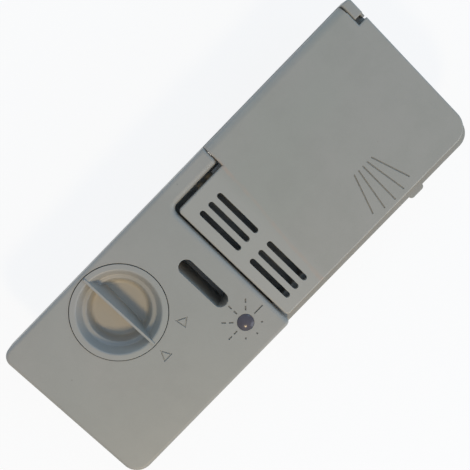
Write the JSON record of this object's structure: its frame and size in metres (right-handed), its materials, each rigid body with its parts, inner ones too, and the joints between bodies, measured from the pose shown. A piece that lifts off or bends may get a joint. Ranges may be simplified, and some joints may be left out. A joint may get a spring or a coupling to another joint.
{
  "type": "dishwasher detergent dispenser",
  "caption": "Door-mounted dishwasher dispenser with a hinged, latched detergent lid over a dosing cup and a rinse-aid tank with a turning cap, level lens and solenoid dosing valve.",
  "frame": {"origin": "middle of the length on the rear land of the flange, which seats on the door's inner sheet", "axes": "+X along the length from the rinse-aid end to the lid end, +Y across the face to the hinge edge, +Z out of the face"},
  "size_m": [0.245, 0.0952, 0.0454],
  "materials": {
    "face_plastic": "fine-grained grey moulding",
    "lid_plastic": "fine-grained grey moulding",
    "cap_plastic": "satin grey moulding",
    "tank_plastic": "milky natural moulding",
    "cover_plastic": "grey moulding",
    "clear_plastic": "clear moulding, dark from the tank behind it",
    "acetal": "natural white moulding",
    "seal_rubber": "black moulded rubber",
    "zinc_steel": "zinc-plated",
    "pin_steel": "drawn stainless rod",
    "spring_wire": "drawn stainless wire",
    "winding_wire": "enamelled copper wire",
    "blade_brass": "tinned brass"
  },
  "bodies": {
    "housing": {"front_housing": "face_plastic", "flange_gasket": "seal_rubber", "tank_shell": "tank_plastic", "level_lens": "clear_plastic", "lens_seal": "seal_rubber", "lens_retainer": "acetal", "hinge_pin": "pin_steel", "lid_spring": "spring_wire", "coil_yoke": "zinc_steel", "coil_bobbin": "acetal", "coil_winding": "winding_wire", "fixed_core": "zinc_steel", "coil_terminals": "blade_brass", "yoke_screws": "zinc_steel", "crank_pivot": "pin_steel", "rod_gland": "seal_rubber", "rear_cover": "cover_plastic", "cover_screws": "zinc_steel", "plunger_spring": "spring_wire"},
    "lid": {"lid": "lid_plastic", "lid_seal": "seal_rubber"},
    "cap": {"rinse_cap": "cap_plastic", "cap_ring": "seal_rubber"},
    "latch": {"latch_slider": "face_plastic"},
    "plunger": {"plunger": "zinc_steel", "link_pin": "pin_steel"},
    "crank": {"crank": "acetal"},
    "dosing": {"dosing_rod": "acetal", "valve_disc": "seal_rubber"}
  },
  "joints": [
    {"name": "lid_hinge", "type": "hinge", "parent": "housing", "child": "lid", "pos_m": [0, 0.0415, 0.0075], "axis": [-1, 0, 0], "range_deg": [0, 105], "deforming": ["lid_spring"]},
    {"name": "cap_turn", "type": "hinge", "parent": "housing", "child": "cap", "pos_m": [-0.0661, 0.0194, 0], "axis": [0, 0, 1], "range_deg": [0, 35]},
    {"name": "plunger_slide", "type": "slide", "parent": "housing", "child": "plunger", "axis": [0, 1, 0], "range_m": [0, 0.003], "stiffness_N_per_m": 150, "springref_m": -0.004, "deforming": ["plunger_spring"]},
    {"name": "latch_slide", "type": "slide", "parent": "housing", "child": "latch", "axis": [0, 1, 0], "range_m": [0, 0.003]},
    {"name": "crank_turn", "type": "hinge", "parent": "housing", "child": "crank", "pos_m": [0.101, -0.019, -0.0217], "axis": [0, 0, -1], "range_deg": [0, 9.1]},
    {"name": "dosing_slide", "type": "slide", "parent": "housing", "child": "dosing", "axis": [1, 0, 0], "range_m": [0, 0.00222]}
  ],
  "couplings": [
    {"joint": "latch_slide", "follows": "plunger_slide", "ratio": 1},
    {"joint": "crank_turn", "follows": "plunger_slide", "rad_per_m": 52.632},
    {"joint": "dosing_slide", "follows": "plunger_slide", "ratio": 0.73684}
  ]
}
